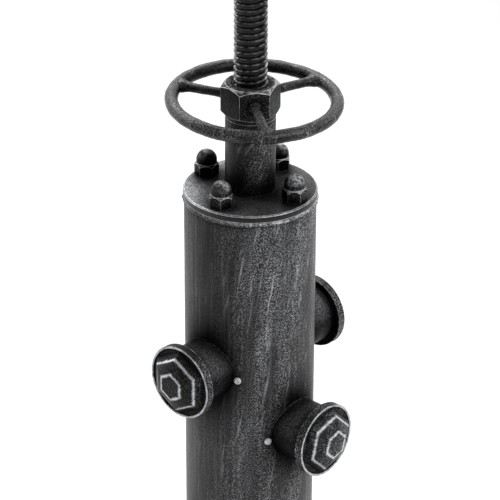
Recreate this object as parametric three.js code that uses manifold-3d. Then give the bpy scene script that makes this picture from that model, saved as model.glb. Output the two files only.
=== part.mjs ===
// A bar stool with a hydrant-style column: a handwheel nut raises a screwed spindle and its seat.
// Millimetres, +Z up. The origin is the middle of the footprint, on the floor.
// Azimuths are in degrees, measured from the front (-Y) towards +X.
import * as THREE from 'three';
import * as BufferGeometryUtils from 'three/addons/utils/BufferGeometryUtils.js';
import Module from 'manifold-3d';

const wasm = await Module();
wasm.setup();

// ---------------------------------------------------------------- driving dimensions
const GAP = 0.3; // between a piece and the curved neighbour that it fits
const FINE = 48; // sides of the largest round pieces
const ROUND = 24; // sides of pieces the size of a pipe
const SMALL = 12; // sides of fasteners

const TUBE = { radius: 63.5, wall: 4 };
const PAD = { radius: 190, thick: 4 };
const BASE = { radius: 200, edge: 12, step: 112, thick: 20, hub: 17 };
const FLANGE = { radius: 100, thick: 12, boltCircle: 82.5, bolts: 6 };
const BASE_BOLT = { radius: 6, across: 18, head: 7.5, depth: 16 };

const LID_TOP = 520; // every height in the column head is measured from here
const LID = { radius: 64.5, thick: 8, chamfer: 1 };
const LID_RING = { inner: 36, thick: 12 };
const STUD = { radius: 7, circle: 50, count: 4, azimuth: -33, above: 15 };
const CAP_NUT = { across: 21, hex: 13, dome: 10, total: 26, bore: 17 };

const SLEEVE = { radius: 24.15, wall: 4, height: 75, weld: 3 };
const BUSH = { length: 28 };
const THRUST_WASHER = { radius: 24, thick: 3 };
const SPINDLE = { radius: 16, bottom: -57, top: 232, chamfer: 2 };
const TAIL = { radius: 10, length: 31 };
const JOURNAL = { radius: 12, length: 36 };

const WHEEL_NUT = { across: 50, height: 31, azimuth: 9 };
const WHEEL = { radius: 78.2, bar: 6.35, spokes: 3, spokeBar: 4.5, spokeRoot: 93 };
// The hoop was welded on by eye: its middle is off the screw's axis and its plane isn't quite level.
const HOOP = { offset: 3.6, height: 90.4, leanBack: 1.5, leanSide: 1.56 };

const GUIDE_DISC = { radius: 52, thick: 12 };
const GUIDE_NUT = { across: 30, thick: 16 };
const GUIDE_RAIL = { width: 10, depth: 12, length: 195, azimuth: -133 };

const OUTLETS = [
  { name: 'left', azimuth: -42, height: -173, hexTurn: 0 },
  { name: 'rear', azimuth: 138, height: -173, hexTurn: 0 },
  { name: 'right', azimuth: 48, height: -242, hexTurn: -15 },
];
const NECK = { radius: 30.15, wall: 4, end: 96 };
const CAP = { radius: 37.2, back: 92, face: 100, lip: 1, lipWidth: 2.6, socket: 4 };
const CAP_HEX = { foot: 34, step: 28, stepRise: 7, top: 14, rise: 14 };
const RIVET = { spread: 31.5, drop: 5, shank: 2.3, hole: 2.7, head: 3.7, tail: 5 };

const SWIVEL_WASHER = { radius: 20, thick: 2 };
const HUB = { radius: 25, height: 35.5 };
const RETAINER = { radius: 18, thick: 3, screw: 5, screwHead: 9, screwHeadThick: 6, screwDepth: 24 };
const SEAT_PLATE = { radius: 95, thick: 5, hole: 22 };
const SEAT_SCREW = { circle: 78, radius: 3, head: 6, headThick: 3.5, length: 22, count: 4 };
const SEAT = { radius: 160, thick: 32, round: 9, recess: 14 };

// ---------------------------------------------------------------- finishes
const FINISH = {
  blackPaint: { color: 0x2b2b2c, roughness: 0.5, metalness: 0.6 },
  rubbedSteel: { color: 0x4a4a4b, roughness: 0.45, metalness: 0.8 },
  oiledSteel: { color: 0x1d1d1e, roughness: 0.3, metalness: 0.8 },
  castIron: { color: 0x252526, roughness: 0.65, metalness: 0.5 },
  brightSteel: { color: 0xc9c9c6, roughness: 0.3, metalness: 1 },
  bronze: { color: 0x9a7540, roughness: 0.4, metalness: 1 },
  rubber: { color: 0x151515, roughness: 0.9, metalness: 0 },
  wood: { color: 0x7a5233, roughness: 0.6, metalness: 0 },
};

// ---------------------------------------------------------------- solids
const radians = THREE.MathUtils.degToRad;
const polar = (radius, angle) => [radius * Math.cos(angle), radius * Math.sin(angle)];

/** A round piece about +Z. The profile is a list of [radius, height], anticlockwise. */
function turned(profile, sides = ROUND) {
  const points = [...profile, profile[0]].map(([r, z]) => new THREE.Vector2(r, z));
  return new THREE.LatheGeometry(points, sides).rotateX(Math.PI / 2);
}

function disc(radius, bottom, top, sides) {
  return turned([[0, bottom], [radius, bottom], [radius, top], [0, top]], sides);
}

function ring(inner, outer, bottom, top, sides) {
  return turned([[inner, bottom], [outer, bottom], [outer, top], [inner, top]], sides);
}

/** A hexagonal bar about +Z with a flat facing the front. */
function hexBar(across, bottom, top) {
  const corner = across / 2 / Math.cos(Math.PI / 6);
  return new THREE.CylinderGeometry(corner, corner, top - bottom, 6)
    .rotateX(Math.PI / 2)
    .rotateZ(Math.PI / 6)
    .translate(0, 0, (bottom + top) / 2);
}

/** Turns a piece made about +Z so that its height points out of the column at an azimuth. */
function outward(geometry, azimuth, height = 0) {
  return geometry.rotateX(Math.PI / 2).rotateZ(radians(azimuth)).translate(0, 0, height);
}

/** Moves a piece made on the axis out to a radius at an azimuth. */
function outTo(geometry, radius, azimuth) {
  return geometry.translate(0, -radius, 0).rotateZ(radians(azimuth));
}

function solid(geometry) {
  const plain = geometry.clone();
  plain.deleteAttribute('normal');
  plain.deleteAttribute('uv');
  const merged = BufferGeometryUtils.mergeVertices(plain, 1e-4);
  const corners = [...merged.index.array];
  const triVerts = [];
  for (let i = 0; i < corners.length; i += 3) {
    const [a, b, c] = corners.slice(i, i + 3);
    if (a !== b && b !== c && c !== a) triVerts.push(a, b, c);
  }
  const vertProperties = new Float32Array(merged.attributes.position.array);
  const mesh = new wasm.Mesh({ numProp: 3, vertProperties, triVerts: new Uint32Array(triVerts) });
  return new wasm.Manifold(mesh);
}

function shell(manifold) {
  const mesh = manifold.getMesh();
  const geometry = new THREE.BufferGeometry();
  geometry.setAttribute('position', new THREE.BufferAttribute(mesh.vertProperties, 3));
  geometry.setIndex(new THREE.BufferAttribute(mesh.triVerts, 1));
  geometry.computeVertexNormals();
  return geometry;
}

function cut(geometry, ...tools) {
  return shell(tools.reduce((body, tool) => body.subtract(solid(tool)), solid(geometry)));
}

function join(geometry, ...others) {
  return shell(others.reduce((body, other) => body.add(solid(other)), solid(geometry)));
}

/** A hexagon with its corners turned off at both ends, as a nut has. */
function nutBlank(across, bottom, top, sides = SMALL) {
  const corner = across / 2 / Math.cos(Math.PI / 6);
  const face = 0.475 * across;
  const fall = (corner + 1 - face) * Math.tan(Math.PI / 6);
  const turnedOff = turned([
    [0, bottom], [face, bottom], [corner + 1, bottom + fall],
    [corner + 1, top - fall], [face, top], [0, top],
  ], sides);
  return shell(solid(hexBar(across, bottom, top)).intersect(solid(turnedOff)));
}

function piece(parent, name, geometry, finish) {
  const mesh = new THREE.Mesh(geometry, new THREE.MeshStandardMaterial(FINISH[finish]));
  mesh.name = name;
  parent.add(mesh);
  return mesh;
}

const stool = new THREE.Group();
const head = new THREE.Group(); // its zero is the top of the lid
head.position.z = LID_TOP;
stool.add(head);

// ---------------------------------------------------------------- foot
const baseTop = PAD.thick + BASE.thick;

function boltAzimuths() {
  return Array.from({ length: FLANGE.bolts }, (_, i) => (i + 0.5) * (360 / FLANGE.bolts));
}

function addFoot() {
  piece(stool, 'floor_pad', disc(PAD.radius, 0, PAD.thick, FINE), 'rubber');

  const casting = turned([
    [0, PAD.thick], [BASE.radius - 4, PAD.thick], [BASE.radius, PAD.thick + 4],
    [BASE.radius, PAD.thick + BASE.edge - 4], [BASE.radius - 4, PAD.thick + BASE.edge],
    [BASE.step + 8, PAD.thick + BASE.hub], [BASE.step, baseTop], [0, baseTop],
  ], FINE);
  const boltBottom = baseTop - BASE_BOLT.depth;
  const tapped = boltAzimuths().map((azimuth) =>
    outTo(disc(BASE_BOLT.radius + GAP, boltBottom - 1, baseTop + 1, SMALL), FLANGE.boltCircle, azimuth));
  piece(stool, 'base_plate', cut(casting, ...tapped), 'castIron');

  const flangeTop = baseTop + FLANGE.thick;
  const clearance = boltAzimuths().map((azimuth) =>
    outTo(disc(BASE_BOLT.radius + 0.5, baseTop - 1, flangeTop + 1, SMALL), FLANGE.boltCircle, azimuth));
  const flange = turned([
    [TUBE.radius + GAP, baseTop], [FLANGE.radius, baseTop], [FLANGE.radius, flangeTop - 1.5],
    [FLANGE.radius - 1.5, flangeTop], [TUBE.radius + GAP, flangeTop],
  ], FINE);
  piece(stool, 'column_flange', cut(flange, ...clearance), 'blackPaint');

  boltAzimuths().forEach((azimuth, i) => {
    const headBlank = nutBlank(BASE_BOLT.across, flangeTop, flangeTop + BASE_BOLT.head);
    const bolt = join(headBlank, disc(BASE_BOLT.radius, boltBottom, flangeTop + 1, SMALL));
    piece(stool, `base_bolt_${i + 1}`, outTo(bolt, FLANGE.boltCircle, azimuth), 'rubbedSteel');
  });
}

// ---------------------------------------------------------------- column
function rivetAzimuths(outlet) {
  return [outlet.azimuth - RIVET.spread, outlet.azimuth + RIVET.spread];
}

function addColumn() {
  const inner = TUBE.radius - TUBE.wall;
  const tube = ring(inner, TUBE.radius, baseTop, LID_TOP - LID.thick, FINE);
  const rivetHoles = OUTLETS.flatMap((outlet) => rivetAzimuths(outlet).map((azimuth) =>
    outward(disc(RIVET.hole, inner - 2, TUBE.radius + 2, SMALL), azimuth,
      LID_TOP + outlet.height - RIVET.drop)));
  piece(stool, 'column_tube', cut(tube, ...rivetHoles), 'blackPaint');

  const railTop = -LID.thick - LID_RING.thick - 5;
  const rail = new THREE.BoxGeometry(GUIDE_RAIL.width, GUIDE_RAIL.depth, GUIDE_RAIL.length)
    .translate(0, 0, railTop - GUIDE_RAIL.length / 2);
  const railMiddle = inner - 0.6 - GUIDE_RAIL.depth / 2;
  piece(head, 'guide_rail', outTo(rail, railMiddle, GUIDE_RAIL.azimuth), 'rubbedSteel');
}

function studAzimuths() {
  return Array.from({ length: STUD.count }, (_, i) => STUD.azimuth + (i * 360) / STUD.count);
}

function studHoles(radius, bottom, top) {
  return studAzimuths().map((azimuth) =>
    outTo(disc(radius, bottom, top, SMALL), STUD.circle, azimuth));
}

function addLid() {
  const ringTop = -LID.thick;
  const ringBottom = ringTop - LID_RING.thick;
  const tappedRing = ring(LID_RING.inner, TUBE.radius - TUBE.wall - GAP, ringBottom, ringTop, FINE);
  piece(head, 'lid_ring',
    cut(tappedRing, ...studHoles(STUD.radius + 0.15, ringBottom - 1, ringTop + 1)), 'rubbedSteel');

  const bore = SLEEVE.radius - SLEEVE.wall;
  const lid = turned([
    [bore, -LID.thick], [LID.radius - LID.chamfer, -LID.thick],
    [LID.radius, LID.chamfer - LID.thick], [LID.radius, -LID.chamfer],
    [LID.radius - LID.chamfer, 0], [bore, 0],
  ], FINE);
  piece(head, 'lid_plate', cut(lid, ...studHoles(STUD.radius + GAP, -LID.thick - 1, 1)), 'rubbedSteel');

  studAzimuths().forEach((azimuth, i) => {
    const stud = disc(STUD.radius, ringBottom + 1, STUD.above, SMALL);
    piece(head, `lid_stud_${i + 1}`, outTo(stud, STUD.circle, azimuth), 'brightSteel');
    piece(head, `cap_nut_${i + 1}`, outTo(capNut(), STUD.circle, azimuth), 'rubbedSteel');
  });
}

/** A domed cap nut: a hexagon, then a cylinder that ends in a hemisphere. */
function capNut() {
  const domeTurns = 4;
  const domeMiddle = CAP_NUT.total - CAP_NUT.dome;
  const dome = Array.from({ length: domeTurns + 1 }, (_, i) => {
    const [r, z] = polar(CAP_NUT.dome, (i / domeTurns) * (Math.PI / 2));
    return [i === domeTurns ? 0 : r, domeMiddle + z];
  });
  const crown = turned([[0, 1], [CAP_NUT.dome, 1], ...dome], SMALL);
  const bore = disc(STUD.radius + 0.15, -1, CAP_NUT.bore, SMALL);
  return cut(join(nutBlank(CAP_NUT.across, 0, CAP_NUT.hex), crown), bore);
}

// ---------------------------------------------------------------- outlets
function addOutlets() {
  const column = () => disc(TUBE.radius + GAP, LID_TOP - 400, LID_TOP, FINE).translate(0, 0, -LID_TOP);
  for (const outlet of OUTLETS) {
    const neck = outward(ring(NECK.radius - NECK.wall, NECK.radius, TUBE.radius / 2, NECK.end - GAP),
      outlet.azimuth, outlet.height);
    piece(head, `outlet_neck_${outlet.name}`, cut(neck, column()), 'blackPaint');

    const cap = outward(outletCap(outlet.hexTurn), outlet.azimuth, outlet.height);
    piece(head, `outlet_cap_${outlet.name}`, cap, 'rubbedSteel');

    rivetAzimuths(outlet).forEach((azimuth, i) => {
      const side = ['a', 'b'][i];
      piece(head, `rivet_${outlet.name}_${side}`,
        outward(rivet(), azimuth, outlet.height - RIVET.drop), 'brightSteel');
    });
  }
}

/** A blank cap with a lipped rim and a stepped hexagonal boss. Its height points outwards. */
function outletCap(hexTurn) {
  const lipInner = CAP.radius - CAP.lipWidth;
  const cup = turned([
    [0, CAP.back + CAP.socket], [NECK.radius + GAP, CAP.back + CAP.socket],
    [NECK.radius + GAP, CAP.back], [CAP.radius - 0.8, CAP.back], [CAP.radius, CAP.back + 0.8],
    [CAP.radius, CAP.face], [CAP.radius - 0.8, CAP.face + CAP.lip],
    [lipInner + 0.6, CAP.face + CAP.lip], [lipInner, CAP.face], [0, CAP.face],
  ], FINE);
  const boss = turned([
    [0, CAP.face - 1], [CAP_HEX.foot, CAP.face - 1], [CAP_HEX.foot, CAP.face],
    [CAP_HEX.step, CAP.face + CAP_HEX.stepRise], [CAP_HEX.top, CAP.face + CAP_HEX.rise],
    [0, CAP.face + CAP_HEX.rise],
  ], 6).rotateZ(radians(hexTurn));
  return join(cup, boss);
}

/** A blind rivet: set tail, shank, domed head and the pit that the pulled stem leaves. */
function rivet() {
  const wall = TUBE.radius - TUBE.wall;
  const seat = TUBE.radius + 0.2;
  return turned([
    [0, wall - RIVET.tail], [RIVET.hole, wall - RIVET.tail], [RIVET.hole + 0.8, wall - RIVET.tail + 1],
    [RIVET.hole + 0.8, wall - 1], [RIVET.shank, wall - 0.4], [RIVET.shank, seat],
    [RIVET.head, seat], [RIVET.head, seat + 0.5], [RIVET.head * 0.8, seat + 1.5],
    [RIVET.head * 0.45, seat + 2.1], [RIVET.head * 0.35, seat + 1.2], [0, seat + 1.2],
  ], SMALL);
}

// ---------------------------------------------------------------- sleeve and spindle
const washerTop = SLEEVE.height + THRUST_WASHER.thick;
const wheelNutTop = washerTop + WHEEL_NUT.height;

function addSleeve() {
  const bore = SLEEVE.radius - SLEEVE.wall;
  const sleeve = turned([
    [bore, 0], [SLEEVE.radius + SLEEVE.weld, 0], [SLEEVE.radius, SLEEVE.weld],
    [SLEEVE.radius, SLEEVE.height], [bore, SLEEVE.height],
  ]);
  piece(head, 'sleeve', sleeve, 'blackPaint');

  const fit = [SPINDLE.radius + GAP, bore - GAP];
  piece(head, 'bush_lower', ring(...fit, -LID.thick, BUSH.length - LID.thick), 'bronze');
  piece(head, 'bush_upper', ring(...fit, SLEEVE.height - BUSH.length, SLEEVE.height), 'bronze');
  const washer = ring(SPINDLE.radius + 2 * GAP, THRUST_WASHER.radius, SLEEVE.height, washerTop);
  piece(head, 'thrust_washer', washer, 'bronze');
}

function addSpindle() {
  const { radius, bottom, top, chamfer } = SPINDLE;
  const blank = turned([
    [0, bottom - TAIL.length], [TAIL.radius, bottom - TAIL.length], [TAIL.radius, bottom],
    [radius - chamfer, bottom], [radius, bottom + chamfer], [radius, top - chamfer],
    [radius - chamfer, top], [JOURNAL.radius, top], [JOURNAL.radius, top + JOURNAL.length],
    [0, top + JOURNAL.length],
  ]);
  const end = top + JOURNAL.length;
  const screwHole = disc(RETAINER.screw + GAP, end - RETAINER.screwDepth - 2, end + 1, SMALL);
  piece(head, 'spindle', cut(blank, screwHole), 'oiledSteel');

  const discBottom = bottom - GUIDE_DISC.thick;
  const guide = ring(TAIL.radius + GAP, GUIDE_DISC.radius, discBottom, bottom, FINE);
  const notchInner = TUBE.radius - TUBE.wall - GUIDE_RAIL.depth - 1.6;
  const notch = new THREE.BoxGeometry(GUIDE_RAIL.width + 1, GUIDE_DISC.radius, GUIDE_DISC.thick + 2)
    .translate(0, 0, bottom - GUIDE_DISC.thick / 2);
  const cutter = outTo(notch, notchInner + GUIDE_DISC.radius / 2, GUIDE_RAIL.azimuth);
  piece(head, 'guide_disc', cut(guide, cutter), 'rubbedSteel');

  const nut = nutBlank(GUIDE_NUT.across, discBottom - GUIDE_NUT.thick, discBottom);
  const nutBore = disc(TAIL.radius + GAP, discBottom - GUIDE_NUT.thick - 1, discBottom + 1);
  piece(head, 'guide_nut', cut(nut, nutBore), 'brightSteel');
}

// ---------------------------------------------------------------- handwheel
function addHandwheel() {
  const bore = disc(SPINDLE.radius + GAP, washerTop - 1, wheelNutTop + 1);
  const nut = cut(nutBlank(WHEEL_NUT.across, washerTop, wheelNutTop, ROUND), bore)
    .rotateZ(radians(WHEEL_NUT.azimuth));
  piece(head, 'wheel_nut', nut, 'rubbedSteel');

  const asWelded = (geometry) => geometry
    .rotateX(radians(HOOP.leanBack))
    .rotateY(radians(HOOP.leanSide))
    .translate(HOOP.offset, 0, HOOP.height);
  const rim = (bar) => {
    const sides = 10;
    const section = Array.from({ length: sides }, (_, i) => {
      const [r, z] = polar(bar, (i / sides) * 2 * Math.PI);
      return [WHEEL.radius + r, z];
    });
    return asWelded(turned(section, FINE));
  };
  piece(head, 'wheel_rim', rim(WHEEL.bar), 'rubbedSteel');

  for (let i = 0; i < WHEEL.spokes; i += 1) {
    const azimuth = WHEEL_NUT.azimuth + (i * 360) / WHEEL.spokes;
    const spot = (radius, height) => outTo(new THREE.BufferGeometry().setFromPoints(
      [new THREE.Vector3(0, 0, height)]), radius, azimuth);
    const point = (geometry) => new THREE.Vector3().fromBufferAttribute(geometry.attributes.position, 0);
    const root = point(spot(WHEEL_NUT.across / 2 + 2 * GAP, WHEEL.spokeRoot));
    const tip = point(asWelded(spot(WHEEL.radius - 2, 0)));
    const along = tip.clone().sub(root);
    const upright = new THREE.Vector3(0, 0, 1);
    const bar = disc(WHEEL.spokeBar, 0, along.length(), SMALL)
      .applyQuaternion(new THREE.Quaternion().setFromUnitVectors(upright, along.normalize()))
      .translate(root.x, root.y, root.z);
    piece(head, `wheel_spoke_${i + 1}`, cut(bar, rim(WHEEL.bar + GAP)), 'rubbedSteel');
  }
}

// ---------------------------------------------------------------- seat
const hubBottom = SPINDLE.top + SWIVEL_WASHER.thick + GAP;
const hubTop = hubBottom + HUB.height;
const seatBottom = hubTop + SEAT_PLATE.thick;

function seatScrewAzimuths() {
  return Array.from({ length: SEAT_SCREW.count }, (_, i) => 45 + (i * 360) / SEAT_SCREW.count);
}

function addSwivel() {
  const washer = ring(JOURNAL.radius + GAP, SWIVEL_WASHER.radius,
    SPINDLE.top, SPINDLE.top + SWIVEL_WASHER.thick);
  piece(head, 'swivel_washer', washer, 'bronze');
  piece(head, 'seat_hub', ring(JOURNAL.radius + GAP, HUB.radius, hubBottom, hubTop), 'blackPaint');

  const retainerBottom = hubTop + GAP;
  const retainerTop = retainerBottom + RETAINER.thick;
  piece(head, 'retainer_washer',
    ring(RETAINER.screw + GAP, RETAINER.radius, retainerBottom, retainerTop), 'brightSteel');
  const spindleEnd = SPINDLE.top + JOURNAL.length;
  const screw = turned([
    [0, spindleEnd - RETAINER.screwDepth], [RETAINER.screw, spindleEnd - RETAINER.screwDepth],
    [RETAINER.screw, retainerTop], [RETAINER.screwHead, retainerTop],
    [RETAINER.screwHead, retainerTop + RETAINER.screwHeadThick],
    [0, retainerTop + RETAINER.screwHeadThick],
  ], SMALL);
  piece(head, 'retainer_screw', screw, 'brightSteel');
}

function addSeat() {
  const screwHoles = (radius, bottom, top) => seatScrewAzimuths().map((azimuth) =>
    outTo(disc(radius, bottom, top, SMALL), SEAT_SCREW.circle, azimuth));
  const plate = ring(SEAT_PLATE.hole, SEAT_PLATE.radius, hubTop, seatBottom, FINE);
  piece(head, 'seat_plate',
    cut(plate, ...screwHoles(SEAT_SCREW.radius + GAP, hubTop - 1, seatBottom + 1)), 'blackPaint');

  const screwTop = hubTop + SEAT_SCREW.length;
  seatScrewAzimuths().forEach((azimuth, i) => {
    const screw = turned([
      [0, hubTop - SEAT_SCREW.headThick], [SEAT_SCREW.head - 1, hubTop - SEAT_SCREW.headThick],
      [SEAT_SCREW.head, hubTop - 1], [SEAT_SCREW.head, hubTop], [SEAT_SCREW.radius, hubTop],
      [SEAT_SCREW.radius, screwTop], [0, screwTop],
    ], SMALL);
    piece(head, `seat_screw_${i + 1}`, outTo(screw, SEAT_SCREW.circle, azimuth), 'brightSteel');
  });

  const edgeTurns = 3;
  const edge = (middleZ, from) => Array.from({ length: edgeTurns + 1 }, (_, i) => {
    const [r, z] = polar(SEAT.round, from + (i / edgeTurns) * (Math.PI / 2));
    return [SEAT.radius - SEAT.round + r, middleZ + z];
  });
  const seatTop = seatBottom + SEAT.thick;
  const board = turned([
    [0, seatBottom], ...edge(seatBottom + SEAT.round, -Math.PI / 2),
    ...edge(seatTop - SEAT.round, 0), [0, seatTop],
  ], FINE);
  const recess = disc(SEAT_PLATE.hole + 2, seatBottom - 1, seatBottom + SEAT.recess);
  const pilots = screwHoles(SEAT_SCREW.radius + GAP, seatBottom - 1, screwTop + 1);
  piece(head, 'seat', cut(board, recess, ...pilots), 'wood');
}

addFoot();
addColumn();
addLid();
addOutlets();
addSleeve();
addSpindle();
addHandwheel();
addSwivel();
addSeat();

export default stool;
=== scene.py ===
# %% [markdown]
# # A bar stool with a hydrant-style column
#
# This notebook dresses a finished CAD model. The model's nodes give every size and place. Here they
# get smooth, detailed meshes and node-based finishes: black paint with silver rubbed over it, an oiled
# screw thread, cast iron, bearing bronze and oiled wood.

# %% Load the frame
import math

import bmesh
import bpy
from mathutils import Matrix, Vector, noise


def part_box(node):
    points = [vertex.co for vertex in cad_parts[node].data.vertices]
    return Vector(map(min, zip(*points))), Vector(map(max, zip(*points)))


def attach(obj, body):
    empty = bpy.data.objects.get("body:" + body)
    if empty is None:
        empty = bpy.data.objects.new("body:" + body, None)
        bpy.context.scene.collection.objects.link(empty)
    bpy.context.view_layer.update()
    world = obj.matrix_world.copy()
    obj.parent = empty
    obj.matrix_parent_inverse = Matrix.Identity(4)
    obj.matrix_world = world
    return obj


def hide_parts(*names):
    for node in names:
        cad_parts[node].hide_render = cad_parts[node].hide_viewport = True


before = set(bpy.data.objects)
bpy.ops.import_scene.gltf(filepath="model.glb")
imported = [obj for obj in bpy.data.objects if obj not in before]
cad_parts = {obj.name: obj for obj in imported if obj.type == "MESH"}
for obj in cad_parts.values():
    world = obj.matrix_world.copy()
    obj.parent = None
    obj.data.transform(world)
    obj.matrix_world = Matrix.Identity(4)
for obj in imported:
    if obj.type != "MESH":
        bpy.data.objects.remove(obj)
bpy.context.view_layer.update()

# %% [markdown]
# Blender works in metres and a workshop works in millimetres. One constant keeps the numbers readable.
# Heights in the head of the column are counted from the top of the lid, as on a workshop drawing, and
# azimuths go round the column from the front towards the right.

# %% Units and the places that the frame gives
MM = 0.001


def top_of(node):
    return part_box(node)[1][2]


def bottom_of(node):
    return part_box(node)[0][2]


def radius_of(node):
    low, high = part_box(node)
    return (high[0] - low[0]) / 2


LID_TOP = top_of("lid_plate")
TUBE_RADIUS = radius_of("column_tube")
print(f"lid top {LID_TOP:.3f} m, tube radius {TUBE_RADIUS / MM:.1f} mm")

# %% [markdown]
# ## Camera, light and floor
#
# The camera comes first, because it decides how much detail each piece needs. It looks down on the lid
# through a long lens, so the column's sides stay almost parallel. It could be aimed by hand; placing it
# by angle and distance from a named point is easier to read and to change.

# %% Camera
CAMERA_AIM = Vector((0, 0, LID_TOP - 68.4 * MM))
CAMERA_DISTANCE = 2.683
CAMERA_LENS = 200
CAMERA_ELEVATION = math.radians(27.5)
CAMERA_ROLL = math.radians(0.2)

camera_data = bpy.data.cameras.new("camera")
camera_data.lens = CAMERA_LENS
camera_data.sensor_width = 36
camera_data.clip_end = 50
camera = bpy.data.objects.new("camera", camera_data)
bpy.context.collection.objects.link(camera)
towards_camera = Vector((0, -math.cos(CAMERA_ELEVATION), math.sin(CAMERA_ELEVATION)))
camera.location = CAMERA_AIM + CAMERA_DISTANCE * towards_camera
camera.rotation_mode = "QUATERNION"
camera.rotation_quaternion = (Matrix.Rotation(math.pi / 2 - CAMERA_ELEVATION, 3, "X")
                              @ Matrix.Rotation(CAMERA_ROLL, 3, "Z")).to_quaternion()
bpy.context.scene.camera = camera
print("camera at", [round(c, 3) for c in camera.location])

# %% [markdown]
# A node tree is easier to read when each node is one line. `add` makes a node, sets its properties, and
# fills its inputs with values or links; a node given as an input stands for its first output. `linear`
# turns a colour picked on screen into the linear numbers that the renderer works with.

# %% Two small helpers for node trees


def linear(hex_colour):
    channels = [int(hex_colour[i:i + 2], 16) / 255 for i in (1, 3, 5)]
    return [c / 12.92 if c <= 0.04045 else ((c + 0.055) / 1.055) ** 2.4 for c in channels] + [1]


def add(tree, kind, inputs=None, **settings):
    node = tree.nodes.new(kind)
    for name, value in settings.items():
        setattr(node, name, value)
    for socket, value in (inputs or {}).items():
        if isinstance(value, bpy.types.Node):
            value = value.outputs[0]
        if isinstance(value, bpy.types.NodeSocket):
            tree.links.new(value, node.inputs[socket])
        else:
            node.inputs[socket].default_value = value
    return node


def new_material(name):
    material = bpy.data.materials.new(name)
    material.use_nodes = True
    material.node_tree.nodes.clear()
    return material, material.node_tree


# %% [markdown]
# The studio is a pale floor under soft light. Black paint shows mostly what it reflects, so the lamps
# are large panels: one at the left, one at the front right, and one overhead that lights the lid and the
# floor. The world is bright at the back and dim at the front.

# %% Floor, world and lamps


def pale_floor():
    material, tree = new_material("pale studio floor")
    grain = add(tree, "ShaderNodeTexNoise", {"Scale": 60.0, "Detail": 3.0})
    tint = add(tree, "ShaderNodeValToRGB", {"Fac": grain.outputs["Fac"]})
    tint.color_ramp.elements[0].color = linear("#f4f4f4")
    tint.color_ramp.elements[1].color = linear("#f8f8f8")
    surface = add(tree, "ShaderNodeBsdfPrincipled", {"Base Color": tint.outputs["Color"], "Roughness": 0.9})
    add(tree, "ShaderNodeOutputMaterial", {"Surface": surface.outputs["BSDF"]})
    return material


floor_mesh = bpy.data.meshes.new("floor")
FLOOR_HALF = 40
floor_corners = ((-1, -1), (1, -1), (1, 1), (-1, 1))
floor_mesh.from_pydata([(x * FLOOR_HALF, y * FLOOR_HALF, 0) for x, y in floor_corners],
                       [], [(0, 1, 2, 3)])
floor = bpy.data.objects.new("floor", floor_mesh)
bpy.context.collection.objects.link(floor)
floor_mesh.materials.append(pale_floor())

world = bpy.data.worlds.new("studio")
world.use_nodes = True
world.node_tree.nodes.clear()
sky_place = add(world.node_tree, "ShaderNodeTexCoord").outputs["Generated"]
sky_depth = add(world.node_tree, "ShaderNodeSeparateXYZ", {0: sky_place}).outputs["Y"]
# the front of the studio is dim, so that black paint stays black
sky_light = add(world.node_tree, "ShaderNodeMapRange", {"Value": sky_depth, "From Min": -0.2,
                                                        "From Max": 0.75, "To Min": 0.05, "To Max": 1.0})
sky = add(world.node_tree, "ShaderNodeBackground", {"Color": linear("#ffffff"),
                                                    "Strength": sky_light})
add(world.node_tree, "ShaderNodeOutputWorld", {"Surface": sky})
bpy.context.scene.world = world
bpy.context.scene.view_settings.view_transform = "Standard"


def panel_lamp(name, place, aim, width, height, watts):
    lamp_data = bpy.data.lights.new(name, "AREA")
    lamp_data.shape = "RECTANGLE"
    lamp_data.size = width
    lamp_data.size_y = height
    lamp_data.energy = watts
    lamp = bpy.data.objects.new(name, lamp_data)
    lamp.location = place
    lamp.rotation_euler = (Vector(aim) - Vector(place)).to_track_quat("-Z", "Y").to_euler()
    bpy.context.collection.objects.link(lamp)


panel_lamp("left panel", (-1.9, 0.6, 1.1), (0, 0, 0.45), 0.5, 1.6, 12)
panel_lamp("right panel", (1.6, -1.3, 1.6), (0, 0, 0.45), 1.2, 1.6, 26)
panel_lamp("overhead panel", (-0.5, 1.2, 2.6), (0, 0.6, 0), 1.8, 1.8, 60)
print("floor and three lamps")

# %% [markdown]
# ## Finishes
#
# The stool is sprayed black and then dry-brushed: an almost dry brush with silver paint is dragged over
# it, so the silver catches on edges, on the grain of the surface and on what faces up. It could be
# painted by hand in Texture Paint. Here five masks are added up instead, so that every piece gets the
# same treatment: hair lines, leaning scuffs, a fine speckle, the upward faces, and the edges that carry
# a mark in the mesh. The silver on upward faces, and on one side of the lid and the wheel, is also a
# painted highlight where the light falls. Corners that the brush can't reach get no silver, and the
# paint there is darkened as painted shade.

# %% Black paint, dry-brushed with silver


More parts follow.
